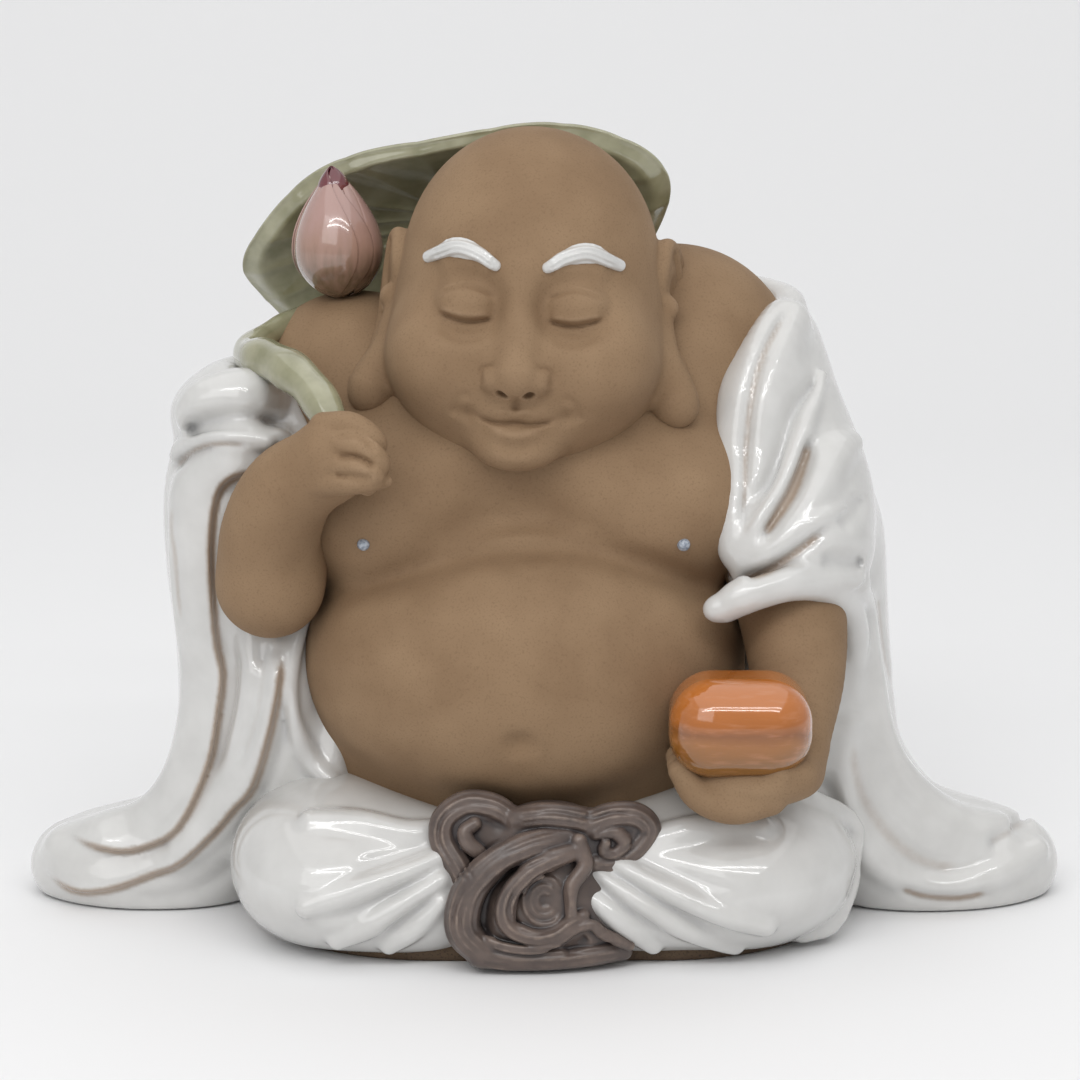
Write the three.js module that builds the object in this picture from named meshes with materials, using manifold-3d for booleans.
// A hand-built stoneware figurine of a seated, big-bellied monk in a glazed robe.
// Millimetres, +Z up, the face looks along -Y. The origin is the centre of the underside of the base slab.
// "Right" and "left" are the figure's own, so its right side lies at negative X.
import * as THREE from "three";
import { mergeVertices } from "three/addons/utils/BufferGeometryUtils.js";
import Module from "manifold-3d";

const wasm = await Module();
wasm.setup();

// Fits between pieces
const luteGap = 0.3; // slip joint between two pieces of clay
const tableGap = 0.4; // hanging ends stay this far off the table

// Widths of the valleys where lumps of clay are smoothed together
const bodyValley = 8;
const breastValley = 9;
const underBreastValley = 4;
const jowlValley = 9;
const neckValley = 5;
const earValley = 6;
const armValley = 5;
const kneeValley = 8;
const robeValley = 8;
const foldValley = 6;
const budValley = 4;

// Base slab
const slabThickness = 3.4;
const slabWidth = 116;
const slabFront = 47; // from the origin to the front edge
const slabBack = 42;
const slabCornerRadius = 36;
const ventDiameter = 12;
const ventSetback = 22;

// Torso, heights from the top of the slab
const torsoSide = -4; // the torso leans this far to the figure's right
const backSide = -2; // the middle of the back and hips
const torsoHeartRise = 62;
const bodyWall = 4.5;
const bellyWidth = 88;
const bellyDepth = 72;
const bellyHeight = 64;
const bellyRise = 50;
const bellyForward = 15;
const chestWidth = 80;
const chestDepth = 46;
const chestHeight = 48;
const chestRise = 92;
const chestForward = 7;
const breastSpread = 26; // from the middle of the chest to the middle of each breast
const breastWidth = 44;
const breastHeight = 38;
const breastRise = 81;
const breastForward = 13;
const rightShoulderSpread = 34; // from the middle of the torso
const rightShoulderWidth = 43;
const rightShoulderRise = 100;
const leftShoulderSpread = 30;
const leftShoulderWidth = 50;
const leftShoulderRise = 106;
const shoulderSetback = 7;
const shoulderFlatness = 0.93; // their depth and height over their width
const backWidth = 96;
const backDepth = 66;
const backHeight = 92;
const backRise = 75;
const backSetback = 14;
const hipWidth = 104;
const hipDepth = 76;
const hipHeight = 76;
const hipRise = 23;
const hipSetback = 4;

// Head, measured from the middle of the skull
const headRise = 126; // middle of the skull over the slab
const headForward = 10;
const headSide = -2.6; // from the middle of the slab
const headLean = 2; // degrees to the figure's left
const headTurn = -4; // degrees about the upright axis
const headWall = 4.2;
const skullWidth = 51;
const skullDepth = 53;
const skullHeight = 58;
const jowlWidth = 54;
const jowlDepth = 47;
const jowlHeight = 43;
const jowlDrop = 16;
const jowlForward = 7;
const neckDiameter = 34;
const neckLength = 30;
const neckSetback = 6;
const cheekSpread = 14.5;
const cheekDiameter = 22;
const cheekForward = 19.5;
const cheekDrop = 14;
const chinWidth = 16;
const chinDepth = 11;
const chinHeight = 10;
const chinForward = 24.5;
const chinDrop = 30.5;
const lidSpread = 10.4;
const lidWidth = 12.5;
const lidDepth = 9.5;
const lidForward = 22.9;
const lidDrop = 2.8;
const noseBridgeDiameter = 5.4;
const noseBridgeRise = 4; // the bridge starts this far over the middle of the skull
const noseBridgeStandOut = 0.4;
const noseTipDiameter = 9;
const noseDrop = 15.1; // of its tip
const noseStandOut = 9.4;
const wingSpread = 4.2;
const wingWidth = 5.4;
const wingDepth = 7.6;
const wingSetback = 1.5;
const earLength = 36;
const earTopLength = 18;
const earTopDepth = 15.4;
const earThickness = 7;
const earSetback = 4;
const earStandOut = 1;
const earDrop = 9; // middle of the ear under the middle of the skull
const lobeLength = 13;
const lobeDepth = 14;
const lobeThickness = 8.4;
const lobeFlare = 3; // the lobes stand this much further out than the ear tops
const earSlant = 15; // and this much further forward
const browLength = 15;
const browHeight = 4.2;
const browThickness = 1.6;
const browSpread = 12;
const browRise = 6;
const browTurn = 28; // degrees that each brow follows the forehead round

// Arms and hands
const upperArmDiameter = 24.5;
const rightElbowDiameter = 20;
const rightWristDiameter = 17;
const rightElbowSide = 49.6; // from the middle of the torso
const rightElbowForward = 27;
const rightElbowRise = 68;
const rightForearmLength = 20;
const leftElbowDiameter = 22;
const leftWristDiameter = 17;
const leftElbowSide = 53;
const leftElbowForward = 15;
const leftElbowRise = 66;
const leftForearmLength = 34;
const fistWidth = 21;
const fistDepth = 17;
const fistHeight = 18;
const fistHeelDiameter = 14.5;
const fistInward = 12.6; // from the wrist to the middle of the fist
const fistForward = 6;
const fistRise = 7;
const knuckleForward = 6;
const fistFingerPitch = 4.3;
const palmWidth = 29;
const palmDepth = 26;
const palmThickness = 15; // of the lump that the fruit is pressed into
const palmInward = 12.2; // from the wrist to the middle of the palm
const palmForward = 5.7;
const palmDrop = 11;
const palmFingerPitch = 5.2;
const fingerDiameter = 6.2;
const fingerTipDiameter = 5.1;

// Fruit
const fruitWidth = 27.4;
const fruitDepth = 24;
const fruitHeight = 19.4;
const fruitInward = 1; // from the middle of the palm
const fruitForward = 2;
const fruitLift = 1;

// Legs
const kneeHeight = 27.5; // over the slab
const kneeSink = 5.5; // what the slab's top trims off the underside of each leg
const rightKneeWidth = 42;
const leftKneeWidth = 54;
const kneeDepth = 60;
const rightKneeSide = 41;
const leftKneeSide = 36;
const kneeForward = 26;
const shinHeight = 23;
const shinWidth = 37;
const shinDepth = 37;
const rightShinSide = 24;
const leftShinSide = 14;
const shinForward = 34.5;

// Sash
const knotWidth = 34;
const knotHeight = 27;
const knotDepth = 20;
const knotForward = 43;
const knotRise = 15; // over the slab
const bowWidth = 24;
const bowHeight = 13;
const bowDepth = 15;
const bowSpread = 15.6; // from the middle of the knot
const bowSetback = 1;
const bowLift = 10.8;
const tailWidth = 42;
const tailHeight = 24; // over the table
const tailSink = 4.8; // what the table trims off its underside
const tailDepth = 18;
const tailForward = 45.2;

// Robe, sides from the middle of the torso and heights over the slab
const robeThickness = 5;
const collarRise = 114.6; // at the back
const collarTilt = 5; // degrees, higher on the figure's left
const skirtWidth = 138;
const skirtDepth = 83;
const skirtHeight = 82;
const skirtSetback = 4;
const skirtRise = 21;

// Right sleeve: folds gathered over the arm, and the cloth that hangs from them
const rightGatherWidth = 36;
const rightGatherDepth = 44;
const rightGatherHeight = 25;
const rightGatherSide = 53;
const rightGatherForward = 6;
const rightGatherRise = 97;
const rightDrapeDiameter = 31; // a long soft fold from the elbow down
const rightDrapeSide = 56.5;
const rightDrapeRise = 78.6;
const rightDrapeForward = 8;
const gatheredFoldDiameter = 9; // the uppermost of the folds
const rightEdgeFoldDiameter = 8.5; // the rounded fold beside the arm
const rightShinFoldDiameter = 28;
const rightShinFoldSide = 55;
const pleatTopDiameter = 16; // a lesser fold in front, under the elbow
const pleatTopSide = 49;
const pleatTopRise = 54.6;
const pleatFootDiameter = 19;
const pleatFootSide = 53;
const pleatFootRise = 24.6;
const pleatForward = 19;

// Left sleeve: one wide fold from the shoulder to the cuff, and the cloth that hangs from it
const leftShoulderFoldDiameter = 27;
const leftShoulderFoldSide = 47;
const leftShoulderFoldSetback = 3;
const leftShoulderFoldRise = 107.6;
const leftCuffDiameter = 34;
const leftCuffSide = 53;
const leftCuffForward = 18;
const leftCuffRise = 75;
const hemDiameter = 7;
const slantingFoldDiameter = 5.5; // two folds that slant from the shoulder towards the cuff
const lowerFoldDiameter = 4;
const leftDrapeDiameter = 30;
const leftDrapeSide = 56;
const leftDrapeRise = 70.6;
const leftDrapeForward = 4;
const leftEdgeFoldDiameter = 7.5; // the rounded fold along the outer edge
const leftShinFoldSide = 58.5;
const foldSink = 1.5; // the middles of the rounded folds lie this deep in the cloth
const shinFoldRise = 38.6;
const shinFoldForward = 6;

// The flatter cloth that hangs behind both drapes
const hangWidth = 28.5;
const hangDepth = 34;
const hangHeight = 88;
const hangSetback = 5.5;
const hangRise = 48.6;
const rightHangSide = 56;
const leftHangSide = 60;

// Trains, sides from the middle of the slab and heights over the table
const kneeFoldDiameter = 29.5; // where a drape turns outwards round the knee
const kneeFoldForward = 6.5;
const rightKneeFoldSide = 62;
const rightKneeFoldRise = 25;
const leftKneeFoldSide = 58;
const leftKneeFoldRise = 29;
const rightBendDiameter = 25; // where it comes down to the table
const rightBendSide = 73;
const leftBendDiameter = 30;
const leftBendSide = 67;
const bendForward = 5.5;
const rightTrainDiameter = 20;
const rightTrainSide = 86;
const leftTrainDiameter = 25;
const leftTrainSide = 81;
const trainRise = 8;
const trainForward = 3.5;
const trainReach = 104.4; // to each tip
const trainTipDiameter = 14.5;
const trainTipForward = 1;
const spreadWidth = 50; // the flat cloth behind the folds
const spreadDepth = 35;
const rightSpreadHeight = 24;
const leftSpreadHeight = 28;
const spreadSide = 80;
const spreadRise = 5;
const spreadSetback = 1;

// Lotus
const leafWidth = 91;
const leafHeight = 51;
const leafThickness = 3.2;
const leafDish = 10; // how deep the leaf is dished
const leafSide = 14; // from the middle of the torso to the figure's right
const leafSetback = 27;
const leafRise = 133;
const leafLean = 28; // degrees that its top leans forward
const leafRoll = 17; // degrees that its right end hangs
const stemDiameter = 6;
const stemLift = 2.4; // its middle lies this far above the cloth
const budWidth = 19;
const budHeight = 25;
const budBodyHeight = 22.5;
const budNeckDiameter = 13.3;
const budPointDiameter = 3.9;
const budLean = 1.5; // of its point, to the figure's right
const budSink = 1; // how deep it is pressed into the shoulder
const budTipDiameter = 6.5;

// Beads on the breast
const beadDiameter = 2.6;
const beadSpread = 32;
const beadRise = 77; // over the slab

const slabTop = slabThickness;
const Z = new THREE.Vector3(0, 0, 1);
const at = (x, y, z) => new THREE.Vector3(x, y, z);

// A solid whose inside is where the returned value is below zero, in mm or close to it.
function egg(middle, width, depth, height) {
  const half = at(width / 2, depth / 2, height / 2);
  return (point) => {
    const scaled = point.clone().sub(middle).divide(half);
    const steep = scaled.clone().divide(half).length();
    const far = scaled.length();
    return far < 1e-6 ? -Math.min(half.x, half.y, half.z) : (far * (far - 1)) / steep;
  };
}

// A roll of clay between two points, thick at one end and thinner at the other.
function roll(start, end, startDiameter, endDiameter) {
  const along = end.clone().sub(start);
  return (point) => {
    const share = point.clone().sub(start).dot(along) / along.lengthSq();
    const t = THREE.MathUtils.clamp(share, 0, 1);
    const nearest = start.clone().addScaledVector(along, t);
    return point.distanceTo(nearest) - THREE.MathUtils.lerp(startDiameter, endDiameter, t) / 2;
  };
}

// A fold of cloth: a roll that runs through several stations, each a middle and a diameter.
function fold(...stations) {
  const parts = stations.slice(1).map(([end, endDiameter], i) => {
    const [start, startDiameter] = stations[i];
    return roll(start, end, startDiameter, endDiameter);
  });
  return (point) => Math.min(...parts.map((part) => part(point)));
}

// Lumps pressed together, with a thumb-smoothed valley of the given width between them.
function pressed(valley, ...fields) {
  return (point) =>
    fields
      .map((field) => field(point))
      .reduce((a, b) => {
        const mix = Math.max(valley - Math.abs(a - b), 0) / valley;
        return Math.min(a, b) - (mix * mix * valley) / 4;
      });
}

// The same shape turned about a point.
function turned(field, pivot, rotation) {
  const back = rotation.clone().invert();
  return (point) => field(point.clone().sub(pivot).applyQuaternion(back).add(pivot));
}

// The distance from the heart to the field's outermost surface along a ray.
function reach(field, heart, ray, level) {
  const far = 150;
  const step = 1.5;
  let inside = 0;
  for (let t = step; t < far; t += step) {
    if (field(heart.clone().addScaledVector(ray, t)) < level) inside = t;
  }
  let low = inside;
  let high = inside + step;
  for (let i = 0; i < 22; i++) {
    const middle = (low + high) / 2;
    if (field(heart.clone().addScaledVector(ray, middle)) < level) low = middle;
    else high = middle;
  }
  return low;
}

// A closed geometry as a solid that can be cut and joined.
function solidOf(geometry) {
  geometry.deleteAttribute("normal");
  geometry.deleteAttribute("uv");
  const merged = mergeVertices(geometry, 1e-4);
  return new wasm.Manifold(
    new wasm.Mesh({
      numProp: 3,
      vertProperties: merged.attributes.position.array,
      triVerts: new Uint32Array(merged.index.array),
    }),
  );
}

// A lump of clay: a ball whose points are pushed out from its heart to the surface of the field.
// "grown" is the same lump larger by the joint gap, which its neighbours are cut back from.
// "sparse" is a vector under 1 long towards the side that gets fewer points.
function lump(heart, field, around, rings, sparse = at(0, 0, 0)) {
  const ball = new THREE.SphereGeometry(1, around, rings).rotateX(Math.PI / 2);
  ball.deleteAttribute("normal");
  ball.deleteAttribute("uv");
  const skin = mergeVertices(ball, 1e-4);
  const swell = (level) => {
    const shape = skin.clone();
    const points = shape.attributes.position;
    for (let i = 0; i < points.count; i++) {
      const ray = at(points.getX(i), points.getY(i), points.getZ(i)).sub(sparse).normalize();
      const tip = heart.clone().addScaledVector(ray, reach(field, heart, ray, level));
      points.setXYZ(i, tip.x, tip.y, tip.z);
    }
    return solidOf(shape);
  };
  return { field, heart, solid: swell(0), grown: swell(luteGap), swell };
}

// A point on a lump's surface, seen from its heart.
function onSurface(shape, ray, lift = 0) {
  const unit = ray.clone().normalize();
  return shape.heart.clone().addScaledVector(unit, reach(shape.field, shape.heart, unit, lift));
}

// A thin coil of clay along a path.
function coil(path, diameter, steps) {
  const swell = (margin) => {
    const section = new THREE.Shape().absarc(0, 0, diameter / 2 + margin, 0, Math.PI * 2);
    const options = { steps, bevelEnabled: false, curveSegments: 8, extrudePath: path };
    return solidOf(new THREE.ExtrudeGeometry(section, options));
  };
  return { solid: swell(0), grown: swell(luteGap) };
}

// A lesser fold is a coil laid on cloth through places seen from its heart. Both ends run into the cloth.
function laidOn(cloth, diameter, sink, ...rays) {
  const last = rays.length - 1;
  const depth = (i) => (i === 0 || i === last ? sink + diameter / 2 : sink);
  const path = new THREE.CatmullRomCurve3(rays.map((ray, i) => onSurface(cloth, ray, -depth(i))));
  return coil(path, diameter, 2 * rays.length + 2);
}

function block(fromX, toX, fromY, toY, fromZ, toZ) {
  const box = new THREE.BoxGeometry(toX - fromX, toY - fromY, toZ - fromZ);
  box.translate((fromX + toX) / 2, (fromY + toY) / 2, (fromZ + toZ) / 2);
  return solidOf(box);
}

function joined(...shapes) {
  return {
    solid: shapes.map((s) => s.solid).reduce((a, b) => a.add(b)),
    grown: shapes.map((s) => s.grown).reduce((a, b) => a.add(b)),
  };
}

// Cuts a shape back from its neighbours and drops the crumbs.
function fitted(solid, ...neighbours) {
  let rest = solid;
  for (const neighbour of neighbours) rest = rest.subtract(neighbour.grown ?? neighbour);
  return rest.decompose().reduce((a, b) => (b.volume() > a.volume() ? b : a));
}

const figure = new THREE.Group();

function addPiece(name, solid, colour, roughness) {
  const mesh = solid.getMesh();
  const points = new Float32Array(mesh.numVert * 3);
  for (let i = 0; i < mesh.numVert; i++) {
    points.set(mesh.vertProperties.subarray(i * mesh.numProp, i * mesh.numProp + 3), i * 3);
  }
  const geometry = new THREE.BufferGeometry();
  geometry.setAttribute("position", new THREE.BufferAttribute(points, 3));
  geometry.setIndex(new THREE.BufferAttribute(mesh.triVerts, 1));
  geometry.computeVertexNormals();
  const material = new THREE.MeshStandardMaterial({ color: colour, roughness, metalness: 0 });
  const piece = new THREE.Mesh(geometry, material);
  piece.name = name;
  figure.add(piece);
}

const bareClay = 0x93775a;
const baseClay = 0x5e4c38;
const whiteGlaze = 0xc8c6c2;
const sashGlaze = 0x4a3e3a;
const fruitGlaze = 0xce8e4c;
const leafGlaze = 0x8d8a68;
const budGlaze = 0xa48478;
const tipGlaze = 0x683136;
const beadGlaze = 0x8a8f98;
const bareRoughness = 0.85;
const glazeRoughness = 0.15;

// Everything built on the slab is trimmed flat where it meets the slab's top.
const farSide = 200;
const underSlabTop = block(-farSide, farSide, -farSide, farSide, -farSide, slabTop + luteGap);
const underTable = block(-farSide, farSide, -farSide, farSide, -farSide, 0);

// The slab with its vent
function slabOutline(margin) {
  const side = slabWidth / 2 + margin;
  const front = -slabFront - margin;
  const back = slabBack + margin;
  const corner = Math.min(slabCornerRadius, slabWidth / 2, (slabFront + slabBack) / 2) + margin;
  const outline = new THREE.Shape();
  outline.absarc(side - corner, back - corner, corner, 0, Math.PI / 2);
  outline.absarc(corner - side, back - corner, corner, Math.PI / 2, Math.PI);
  outline.absarc(corner - side, front + corner, corner, Math.PI, Math.PI * 1.5);
  outline.absarc(side - corner, front + corner, corner, Math.PI * 1.5, Math.PI * 2);
  return outline;
}

function slabOf(margin, outline) {
  const options = { depth: slabThickness + 2 * margin, bevelEnabled: false, curveSegments: 7 };
  return solidOf(new THREE.ExtrudeGeometry(outline, options).translate(0, 0, -margin));
}

const ventedOutline = slabOutline(0);
ventedOutline.holes.push(new THREE.Path().absarc(0, ventSetback, ventDiameter / 2, 0, Math.PI * 2, true));
const slab = { solid: slabOf(0, ventedOutline), grown: slabOf(luteGap, slabOutline(luteGap)) };
addPiece("base_slab", slab.solid, baseClay, bareRoughness);

// Torso
const belly = at(torsoSide, -bellyForward, slabTop + bellyRise);
const chest = at(torsoSide, -chestForward, slabTop + chestRise);
const rightShoulder = at(torsoSide - rightShoulderSpread, shoulderSetback, slabTop + rightShoulderRise);
const leftShoulder = at(torsoSide + leftShoulderSpread, shoulderSetback, slabTop + leftShoulderRise);
function breast(side) {
  const middle = at(torsoSide + side * breastSpread, -breastForward, slabTop + breastRise);
  return egg(middle, breastWidth, breastWidth, breastHeight);
}
function shoulder(middle, width) {
  return egg(middle, width, width * shoulderFlatness, width * shoulderFlatness);
}
const torsoField = pressed(
  bodyValley,
  pressed(
    underBreastValley,
    egg(belly, bellyWidth, bellyDepth, bellyHeight),
    pressed(breastValley, egg(chest, chestWidth, chestDepth, chestHeight), breast(-1), breast(1)),
  ),
  shoulder(rightShoulder, rightShoulderWidth),
  shoulder(leftShoulder, leftShoulderWidth),
  egg(at(backSide, backSetback, slabTop + backRise), backWidth, backDepth, backHeight),
  egg(at(backSide, hipSetback, slabTop + hipRise), hipWidth, hipDepth, hipHeight),
);
const torsoHeart = at(torsoSide, 0, slabTop + torsoHeartRise);
const torso = lump(torsoHeart, torsoField, 36, 26);

// Head
const skull = at(headSide, -headForward, slabTop + headRise);
const headRotation = new THREE.Quaternion().setFromEuler(
  new THREE.Euler(0, THREE.MathUtils.degToRad(headLean), THREE.MathUtils.degToRad(headTurn)),
);
const onHead = (x, y, z) => at(x, y, z).applyQuaternion(headRotation).add(skull);
const besideSkull = (x, y, z) => at(x, y, z).add(skull);
const jowl = besideSkull(0, -jowlForward, -jowlDrop);
const faceFront = -skullDepth / 2;
const neckFoot = besideSkull(0, neckSetback, -neckLength);
function cheek(side) {
  const middle = besideSkull(side * cheekSpread, -cheekForward, -cheekDrop);
  return egg(middle, cheekDiameter, cheekDiameter, cheekDiameter);
}
const headField = turned(
  pressed(
    neckValley,
    pressed(
      jowlValley,
      egg(skull, skullWidth, skullDepth, skullHeight),
      egg(jowl, jowlWidth, jowlDepth, jowlHeight),
      cheek(-1),
      cheek(1),
      egg(besideSkull(0, -chinForward, -chinDrop), chinWidth, chinDepth, chinHeight),
    ),
    roll(skull, neckFoot, neckDiameter, neckDiameter),
  ),
  skull,
  headRotation,
);
const noseBridgeBack = faceFront - noseBridgeStandOut + noseBridgeDiameter / 2;
const noseTipBack = faceFront - noseStandOut + noseTipDiameter / 2;
const noseBridge = onHead(0, noseBridgeBack, noseBridgeRise);
const noseTip = onHead(0, noseTipBack, -noseDrop);
const nose = lump(noseTip, roll(noseBridge, noseTip, noseBridgeDiameter, noseTipDiameter), 10, 8);
function wing(side) {
  const middle = onHead(side * wingSpread, noseTipBack + wingSetback, -noseDrop);
  return lump(middle, egg(middle, wingWidth, wingDepth, wingWidth), 8, 6);
}
function lid(side) {
  const middle = onHead(side * lidSpread, -lidForward, -lidDrop);
  return lump(middle, egg(middle, lidWidth, lidDepth, lidDepth), 12, 8);
}
const fewerBehind = at(0, 0.4, 0);
const cranium = lump(skull, headField, 30, 22, fewerBehind);
const head = joined(cranium, nose, wing(-1), wing(1), lid(-1), lid(1));
const neckBoreRadius = neckDiameter / 2 - headWall;
const neckBore = solidOf(
  new THREE.CylinderGeometry(neckBoreRadius, neckBoreRadius, neckLength, 14)
    .rotateX(Math.PI / 2)
    .translate(neckFoot.x, neckFoot.y, neckFoot.z - neckBoreRadius),
);
const headHollow = lump(skull, headField, 12, 8).swell(-headWall).add(neckBore);
addPiece("head_shell", fitted(head.solid, headHollow), bareClay, bareRoughness);

const torsoHollow = lump(torsoHeart, torsoField, 16, 11).swell(-bodyWall);
const torsoShell = torso.solid.subtract(torsoHollow);
const seam = torsoHeart.y;
const behindSeam = block(-farSide, farSide, seam - luteGap / 2, farSide, -farSide, farSide);
const beforeSeam = block(-farSide, farSide, -farSide, seam + luteGap / 2, -farSide, farSide);
addPiece("body_front", fitted(torsoShell, behindSeam, underSlabTop, head), bareClay, bareRoughness);
addPiece("body_back", fitted(torsoShell, beforeSeam, underSlabTop, head), bareClay, bareRoughness);

// Beads of glaze on the breast
function bead(side) {
  const ray = at(side * beadSpread, -breastForward - breastWidth / 2, beadRise - torsoHeartRise);
  const middle = onSurface(torso, ray);
  return lump(middle, egg(middle, beadDiameter, beadDiameter, beadDiameter), 8, 6);
}
addPiece("right_chest_bead", fitted(bead(-1).solid, torso), beadGlaze, glazeRoughness);
addPiece("left_chest_bead", fitted(bead(1).solid, torso), beadGlaze, glazeRoughness);

// Ears and brows
function ear(side) {
  const out = skullWidth / 2 + earStandOut;
  const topRise = (earLength - earTopLength) / 2 - earDrop;
  const lobeRise = (lobeLength - earLength) / 2 - earDrop;
  const top = onHead(side * out, earSetback, topRise);
  const lobe = onHead(side * (out + lobeFlare), earSetback - earSlant, lobeRise);
  const shape = pressed(
    earValley,
    egg(top, earThickness, earTopDepth, earTopLength),
    roll(top, lobe, earThickness, earThickness),
    egg(lobe, lobeThickness, lobeDepth, lobeLength),
  );
  return lump(top.clone().lerp(lobe, 0.5), shape, 10, 12);
}
const rightEar = ear(-1);
const leftEar = ear(1);
addPiece("right_ear", fitted(rightEar.solid, head, torso), bareClay, bareRoughness);
addPiece("left_ear", fitted(leftEar.solid, head, torso), bareClay, bareRoughness);

function brow(side) {
  const ray = at(side * browSpread, faceFront, browRise).applyQuaternion(headRotation);
  const middle = onSurface(cranium, ray);
  const shape = egg(middle, browLength, 2 * (browThickness + luteGap), browHeight);
  const follow = new THREE.Quaternion().setFromAxisAngle(Z, THREE.MathUtils.degToRad(side * browTurn));
  return lump(middle, turned(shape, middle, follow), 10, 6);
}
addPiece("right_eyebrow", fitted(brow(-1).solid, head), whiteGlaze, glazeRoughness);
addPiece("left_eyebrow", fitted(brow(1).solid, head), whiteGlaze, glazeRoughness);

// Arms
const rightElbow = at(torsoSide - rightElbowSide, -rightElbowForward, slabTop + rightElbowRise);
const rightForearmAim = at(0.06, -0.4, 0.92);
const rightWrist = rightElbow.clone().add(rightForearmAim.setLength(rightForearmLength));
const leftElbow = at(torsoSide + leftElbowSide, -leftElbowForward, slabTop + leftElbowRise);
const leftForearmAim = at(0.05, -0.78, -0.62);
const leftWrist = leftElbow.clone().add(leftForearmAim.setLength(leftForearmLength));
function arm(shoulderEnd, elbow, wrist, elbowDiameter, wristDiameter) {
  const shape = pressed(
    armValley,
    roll(shoulderEnd, elbow, upperArmDiameter, elbowDiameter),
    roll(elbow, wrist, elbowDiameter, wristDiameter),
  );
  return lump(elbow, shape, 14, 12);
}
const rightArm = arm(rightShoulder, rightElbow, rightWrist, rightElbowDiameter, rightWristDiameter);
const leftArm = arm(leftShoulder, leftElbow, leftWrist, leftElbowDiameter, leftWristDiameter);
addPiece("right_arm", fitted(rightArm.solid, torso), bareClay, bareRoughness);
addPiece("left_arm", fitted(leftArm.solid, torso), bareClay, bareRoughness);

// Right hand: a fist that bends from the wrist towards the chest
const fistMiddle = rightWrist.clone().add(at(fistInward, -fistForward, fistRise));
const fistField = pressed(
  armValley,
  egg(fistMiddle, fistWidth, fistDepth, fistHeight),
  roll(rightWrist, fistMiddle, rightWristDiameter, fistHeelDiameter),
);
const fistPalm = lump(fistMiddle, fistField, 14, 10);
const fingerCurl = at(6.7, 2, -1);
const fistFingers = [0, 1, 2, 3].map((i) => {
  const rise = fistFingerPitch * (1.25 - i);
  const knuckle = fistMiddle.clone().add(at(1, -knuckleForward, rise));
  const tip = knuckle.clone().add(fingerCurl);
  const finger = roll(knuckle, tip, fingerDiameter, fingerTipDiameter);
  return lump(knuckle.clone().lerp(tip, 0.5), finger, 7, 5);
});
const fist = joined(fistPalm, ...fistFingers);
addPiece("right_fist", fitted(fist.solid, rightArm, torso), bareClay, bareRoughness);

// Left hand: a cupped palm with the fruit in it
const palmMiddle = leftWrist.clone().add(at(-palmInward, -palmForward, -palmDrop));
const fruitMiddle = palmMiddle.clone().add(at(-fruitInward, -fruitForward, fruitHeight / 2 + fruitLift));
const fruitPower = 2.6; // 2 would be an egg, more is squarer
const fruitField = (point) => {
  const away = point.clone().sub(fruitMiddle);
  const part = (value, size) => Math.abs((2 * value) / size) ** fruitPower;
  const sum = part(away.x, fruitWidth) + part(away.y, fruitDepth) + part(away.z, fruitHeight);
  return (sum ** (1 / fruitPower) - 1) * (fruitHeight / 2);
};
const fruit = lump(fruitMiddle, fruitField, 14, 8);
addPiece("orange_fruit", fitted(fruit.solid, torso, leftArm), fruitGlaze, glazeRoughness);

const palm = lump(palmMiddle, egg(palmMiddle, palmWidth, palmDepth, palmThickness), 14, 8);
const fingerRoot = at(-8.7, 0, -1.5); // from the middle of the palm
const fingerReach = at(-5.2, 0, 5.5);
const handFingers = [0, 1, 2, 3].map((i) => {
  const across = at(0, palmFingerPitch * (1.5 - i), 0);
  const root = palmMiddle.clone().add(fingerRoot).add(across);
  const tip = root.clone().add(fingerReach);
  const finger = roll(root, tip, fingerDiameter, fingerTipDiameter);
  return lump(root.clone().lerp(tip, 0.5), finger, 7, 5);
});
const hand = joined(palm, ...handFingers);
addPiece("left_hand", fitted(hand.solid, fruit, leftArm, torso), bareClay, bareRoughness);

// Trouser legs, folded flat
function leg(side, kneeSide, kneeWidth, shinSide) {
  const knee = at(side * kneeSide, -kneeForward, slabTop + (kneeHeight - kneeSink) / 2);
  const shin = at(side * shinSide, -shinForward, slabTop + (shinHeight - kneeSink) / 2);
  const shape = pressed(
    kneeValley,
    egg(knee, kneeWidth, kneeDepth, kneeHeight + kneeSink),
    egg(shin, shinWidth, shinDepth, shinHeight + kneeSink),
  );
  return lump(knee, shape, 22, 12);
}
const rightLeg = leg(-1, rightKneeSide, rightKneeWidth, rightShinSide);
const leftLeg = leg(1, leftKneeSide, leftKneeWidth, leftShinSide);
const lap = [torso, underSlabTop, fruit, hand];
addPiece("right_trouser_leg", fitted(rightLeg.solid, ...lap), whiteGlaze, glazeRoughness);
addPiece("left_trouser_leg", fitted(leftLeg.solid, ...lap, rightLeg), whiteGlaze, glazeRoughness);

// Sash: a knot over the crossed legs, two bows and a tail that hangs over the slab's edge
const legs = [rightLeg, leftLeg];
const knotMiddle = at(0, -knotForward, slabTop + knotRise);
const knot = lump(knotMiddle, egg(knotMiddle, knotWidth, knotDepth, knotHeight), 16, 10);
addPiece("sash_knot", fitted(knot.solid, torso, ...legs, underSlabTop), sashGlaze, glazeRoughness);
function bow(side) {
  const middle = knotMiddle.clone().add(at(side * bowSpread, bowSetback, bowLift));
  return lump(middle, egg(middle, bowWidth, bowDepth, bowHeight), 14, 8);
}
const rightBow = bow(-1);
const leftBow = bow(1);
const behindBows = [torso, knot, ...legs, hand, fruit];
addPiece("sash_right_bow", fitted(rightBow.solid, ...behindBows), sashGlaze, glazeRoughness);
addPiece("sash_left_bow", fitted(leftBow.solid, ...behindBows), sashGlaze, glazeRoughness);
const tailMiddle = at(0, -tailForward, (tailHeight - tailSink) / 2);
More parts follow.
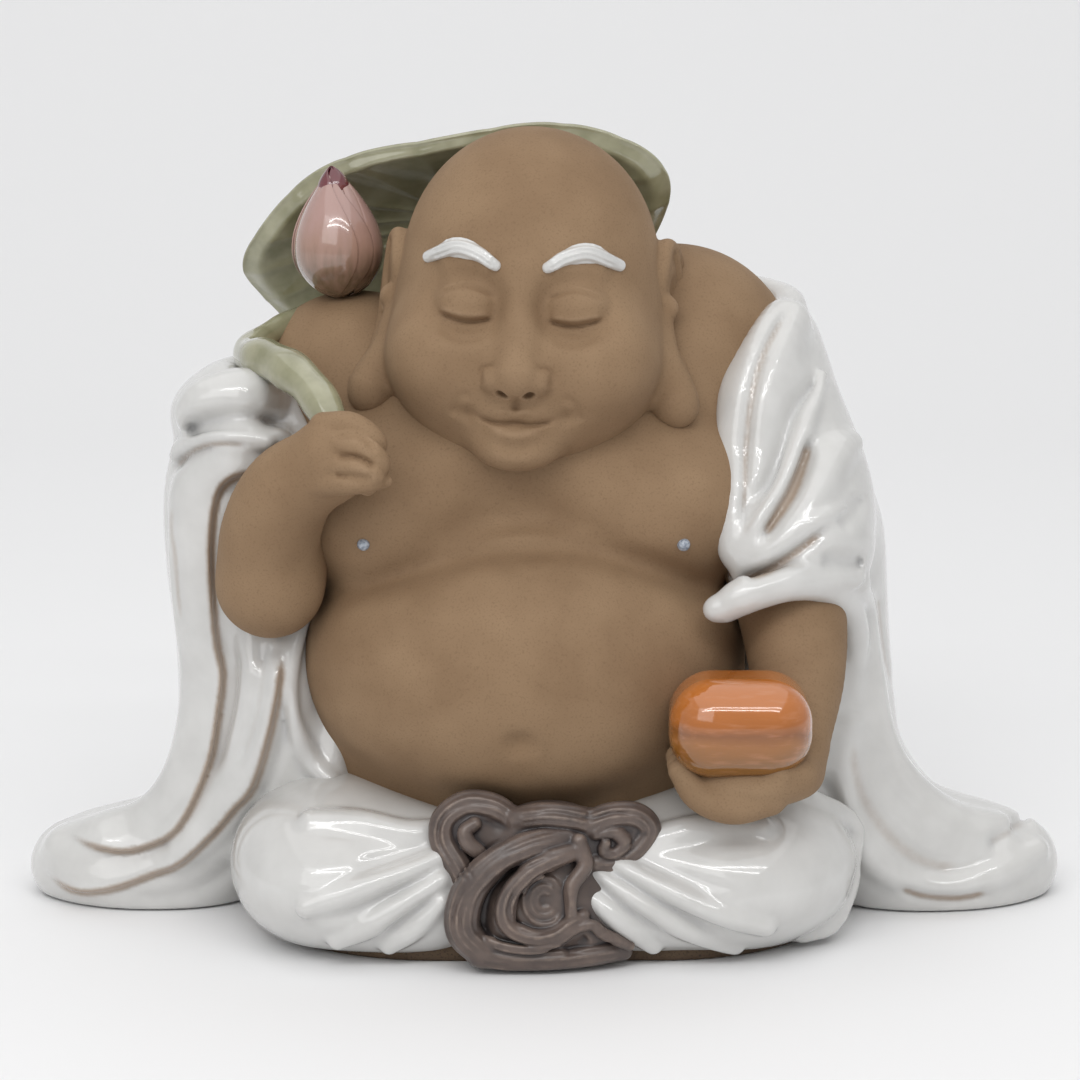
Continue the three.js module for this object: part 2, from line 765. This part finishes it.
const tail = lump(tailMiddle, egg(tailMiddle, tailWidth, tailDepth, tailHeight + tailSink), 16, 10);
const underTail = block(-farSide, farSide, -farSide, farSide, -farSide, tableGap);
addPiece(
  "sash_tail",
  fitted(tail.solid, slab, torso, knot, rightBow, leftBow, ...legs, underTail),
  sashGlaze,
  glazeRoughness,
);

// Robe: sleeves that slip off the shoulders, a back and two trains on the table
const bodyParts = [torso, head, rightEar, leftEar, rightArm, leftArm, fist, hand, fruit, ...legs];
const besideTorso = (side, forward, rise) => at(torsoSide + side, -forward, slabTop + rise);
const rightShinFold = besideTorso(-rightShinFoldSide, shinFoldForward, shinFoldRise);
const leftShinFold = besideTorso(leftShinFoldSide, shinFoldForward, shinFoldRise);
const pleatFoot = besideTorso(-pleatFootSide, pleatForward, pleatFootRise);
function hanging(side) {
  return egg(besideTorso(side, -hangSetback, hangRise), hangWidth, hangDepth, hangHeight);
}

const rightGather = besideTorso(-rightGatherSide, rightGatherForward, rightGatherRise);
const rightDrape = besideTorso(-rightDrapeSide, rightDrapeForward, rightDrapeRise);
const rightSleeveField = pressed(
  foldValley,
  egg(rightGather, rightGatherWidth, rightGatherDepth, rightGatherHeight),
  fold(
    [rightGather, rightGatherHeight],
    [rightDrape, rightDrapeDiameter],
    [rightShinFold, rightShinFoldDiameter],
  ),
  fold(
    [besideTorso(-pleatTopSide, pleatForward, pleatTopRise), pleatTopDiameter],
    [pleatFoot, pleatFootDiameter],
  ),
  hanging(-rightHangSide),
);
const rightSleeveCloth = lump(rightDrape.clone().lerp(rightShinFold, 0.3), rightSleeveField, 24, 18);

// A rounded fold hangs beside the arm, and another lies gathered on the shoulder
const rightEdgeFold = laidOn(
  rightSleeveCloth,
  rightEdgeFoldDiameter,
  foldSink,
  at(8, -24, 24),
  at(4, -22, 26),
  at(-3, -17, 24),
  at(-8.5, -11.6, 18),
  at(-10, -9.6, 10),
  at(-10, -8.6, 0),
  at(-9.5, -8, -12),
  at(-9, -7.6, -24),
);
const gatheredFold = laidOn(
  rightSleeveCloth,
  gatheredFoldDiameter,
  foldSink,
  at(-12, -0.6, 31),
  at(-6, -7.6, 34),
  at(2, -13.6, 36),
  at(10, -18.6, 36),
);
const rightSleeve = {
  ...rightSleeveCloth,
  ...joined(rightSleeveCloth, rightEdgeFold, gatheredFold),
};

const leftShoulderFold = besideTorso(leftShoulderFoldSide, -leftShoulderFoldSetback, leftShoulderFoldRise);
const leftCuff = besideTorso(leftCuffSide, leftCuffForward, leftCuffRise);
const leftDrape = besideTorso(leftDrapeSide, leftDrapeForward, leftDrapeRise);
const leftSleeveField = pressed(
  foldValley,
  fold([leftShoulderFold, leftShoulderFoldDiameter], [leftCuff, leftCuffDiameter]),
  fold([leftDrape, leftDrapeDiameter], [leftShinFold, leftDrapeDiameter]),
  hanging(leftHangSide),
);
const leftSleeveCloth = lump(leftDrape, leftSleeveField, 24, 18);

// The rolled hem runs along the cuff, from the breast round the elbow, and three folds lie above and beside it
const hem = laidOn(
  leftSleeveCloth,
  hemDiameter,
  0,
  at(-17, -34, -7),
  at(-11, -35, -3),
  at(0, -30, -1),
  at(9, -19, -10),
  at(9, -12.5, -22),
);
const slantingFold = laidOn(
  leftSleeveCloth,
  slantingFoldDiameter,
  0,
  at(6, -1, 37),
  at(1.5, -10, 31.5),
  at(-2, -16, 25),
  at(-5.5, -21.5, 17),
  at(-9.5, -24.5, 10),
  at(-13.5, -28, 3),
);
const lowerFold = laidOn(
  leftSleeveCloth,
  lowerFoldDiameter,
  0,
  at(9, -11, 10),
  at(3, -18.5, 9),
  at(-3, -24.5, 6.5),
  at(-9, -29, 3),
  at(-13, -31.5, 0),
);
const leftEdgeFold = laidOn(
  leftSleeveCloth,
  leftEdgeFoldDiameter,
  foldSink,
  at(12, -6, -2),
  at(13.5, -5, -12),
  at(14, -4, -24),
  at(14, -4, -34),
);
const leftSleeve = joined(leftSleeveCloth, hem, slantingFold, lowerFold, leftEdgeFold);
const sleeveBed = [...bodyParts, underSlabTop];
addPiece("right_sleeve", fitted(rightSleeve.solid, ...sleeveBed), whiteGlaze, glazeRoughness);
addPiece("left_sleeve", fitted(leftSleeve.solid, ...sleeveBed), whiteGlaze, glazeRoughness);

const skirt = at(backSide, skirtSetback, slabTop + skirtRise);
const robeField = pressed(
  robeValley,
  (point) => torsoField(point) - robeThickness,
  egg(skirt, skirtWidth, skirtDepth, skirtHeight),
);
const fewerInFront = at(0, -0.3, 0);
const robeSwell = lump(torsoHeart, robeField, 24, 16, fewerInFront);
function robeOf(margin) {
  const front = seam - robeThickness - margin;
  const aboveCollar = new THREE.BoxGeometry(2 * farSide, 2 * farSide, farSide)
    .translate(0, 0, farSide / 2)
    .rotateY(THREE.MathUtils.degToRad(-collarTilt))
    .translate(0, 0, slabTop + collarRise + margin);
  return robeSwell
    .swell(margin)
    .subtract(block(-farSide, farSide, -farSide, front, -farSide, farSide))
    .subtract(solidOf(aboveCollar));
}
const robe = { solid: robeOf(0), grown: robeOf(luteGap) };
const sleeves = [rightSleeve, leftSleeve];
addPiece(
  "robe_back",
  fitted(robe.solid, slab, underTable, ...bodyParts, ...sleeves),
  whiteGlaze,
  glazeRoughness,
);

// The trains are the ends of the drapes, which turn outwards round the knees and spread on the table
function train(side, height, bend, ...folds) {
  const tip = at(side * (trainReach - trainTipDiameter / 2), -trainTipForward, trainTipDiameter / 2);
  const spread = at(side * spreadSide, spreadSetback, spreadRise);
  const [longFold, ...lesserFolds] = folds;
  const shape = pressed(
    foldValley,
    fold(...longFold, [tip, trainTipDiameter]),
    ...lesserFolds.map((stations) => fold(...stations)),
    egg(spread, spreadWidth, spreadDepth, height),
  );
  return lump(bend, shape, 24, 14);
}
const rightBend = at(-rightBendSide, -bendForward, rightBendDiameter / 2);
const rightTrain = train(
  -1,
  rightSpreadHeight,
  rightBend,
  [
    [rightShinFold, rightShinFoldDiameter],
    [at(-rightKneeFoldSide, -kneeFoldForward, rightKneeFoldRise), kneeFoldDiameter],
    [rightBend, rightBendDiameter],
    [at(-rightTrainSide, -trainForward, trainRise), rightTrainDiameter],
  ],
  [
    [pleatFoot, pleatFootDiameter],
    [rightBend.clone().lerp(pleatFoot, 0.5), pleatFootDiameter],
  ],
);
const leftBend = at(leftBendSide, -bendForward, leftBendDiameter / 2);
const leftTrain = train(1, leftSpreadHeight, leftBend, [
  [leftShinFold, leftDrapeDiameter],
  [at(leftKneeFoldSide, -kneeFoldForward, leftKneeFoldRise), kneeFoldDiameter],
  [leftBend, leftBendDiameter],
  [at(leftTrainSide, -trainForward, trainRise), leftTrainDiameter],
]);
const trainBed = [...bodyParts, ...sleeves, robe, slab, underTable];
addPiece("right_train", fitted(rightTrain.solid, ...trainBed), whiteGlaze, glazeRoughness);
addPiece("left_train", fitted(leftTrain.solid, ...trainBed), whiteGlaze, glazeRoughness);

// Lotus: a stem from the fist over the shoulder, a bud on the shoulder and a dished leaf behind the head
const robed = [...bodyParts, ...sleeves, robe];
const behindShoulder = at(-0.6, 0.62, 0.75);
const overSleeve = [at(0.02, 0.3, 1), at(0.06, -0.1, 1), at(0.28, -0.4, 1)];
const stemOverFist = at(-4.2, 5, 10.8);
const stemPath = new THREE.CatmullRomCurve3([
  onSurface(torso, behindShoulder, stemDiameter / 2),
  ...overSleeve.map((ray) => onSurface(rightSleeve, ray, stemLift)),
  fistMiddle.clone().add(stemOverFist),
  fistMiddle,
]);
const stem = coil(stemPath, stemDiameter, 14);
addPiece("lotus_stem", fitted(stem.solid, ...robed), leafGlaze, glazeRoughness);

const fromHeartToBud = at(-34.5, 4, 54);
const budFoot = onSurface(torso, fromHeartToBud);
const budMiddle = budFoot.clone().add(at(0, 0, budHeight / 2 - budSink));
const budPoint = budMiddle.clone().add(at(-budLean, 0, budHeight / 2));
const budField = pressed(
  budValley,
  egg(budMiddle, budWidth, budWidth, budBodyHeight),
  roll(budMiddle, budPoint, budNeckDiameter, budPointDiameter),
);
const bud = lump(budMiddle, budField, 14, 12);
const budTipShape = egg(budPoint, budTipDiameter, budTipDiameter, budTipDiameter);
const budTip = lump(budPoint, budTipShape, 8, 6);
const budBed = [...robed, stem];
addPiece("bud_tip", budTip.solid, tipGlaze, glazeRoughness);
addPiece("lotus_bud", fitted(bud.solid, budTip, ...budBed), budGlaze, glazeRoughness);

const leafSides = 24;
function leafOf(margin) {
  const rim = 1 + margin / (leafHeight / 2);
  const dish = (share) => leafDish * share * share;
  const shares = [0.3, 0.6, 0.85, 1];
  const profile = [
    new THREE.Vector2(0, dish(0) - margin - leafThickness),
    ...shares.map((share) => new THREE.Vector2(share * rim, dish(share) - margin - leafThickness)),
    ...shares.reverse().map((share) => new THREE.Vector2(share * rim, dish(share) + margin)),
    new THREE.Vector2(0, dish(0) + margin),
  ];
  return solidOf(
    new THREE.LatheGeometry(profile, leafSides)
      .scale(leafWidth / 2, 1, leafHeight / 2)
      .rotateZ(Math.PI)
      .rotateY(THREE.MathUtils.degToRad(-leafRoll))
      .rotateX(THREE.MathUtils.degToRad(leafLean))
      .translate(torsoSide - leafSide, leafSetback, slabTop + leafRise),
  );
}
const leafBed = [...robed, stem, bud, budTip];
addPiece("lotus_leaf", fitted(leafOf(0), ...leafBed), leafGlaze, glazeRoughness);

export default figure;
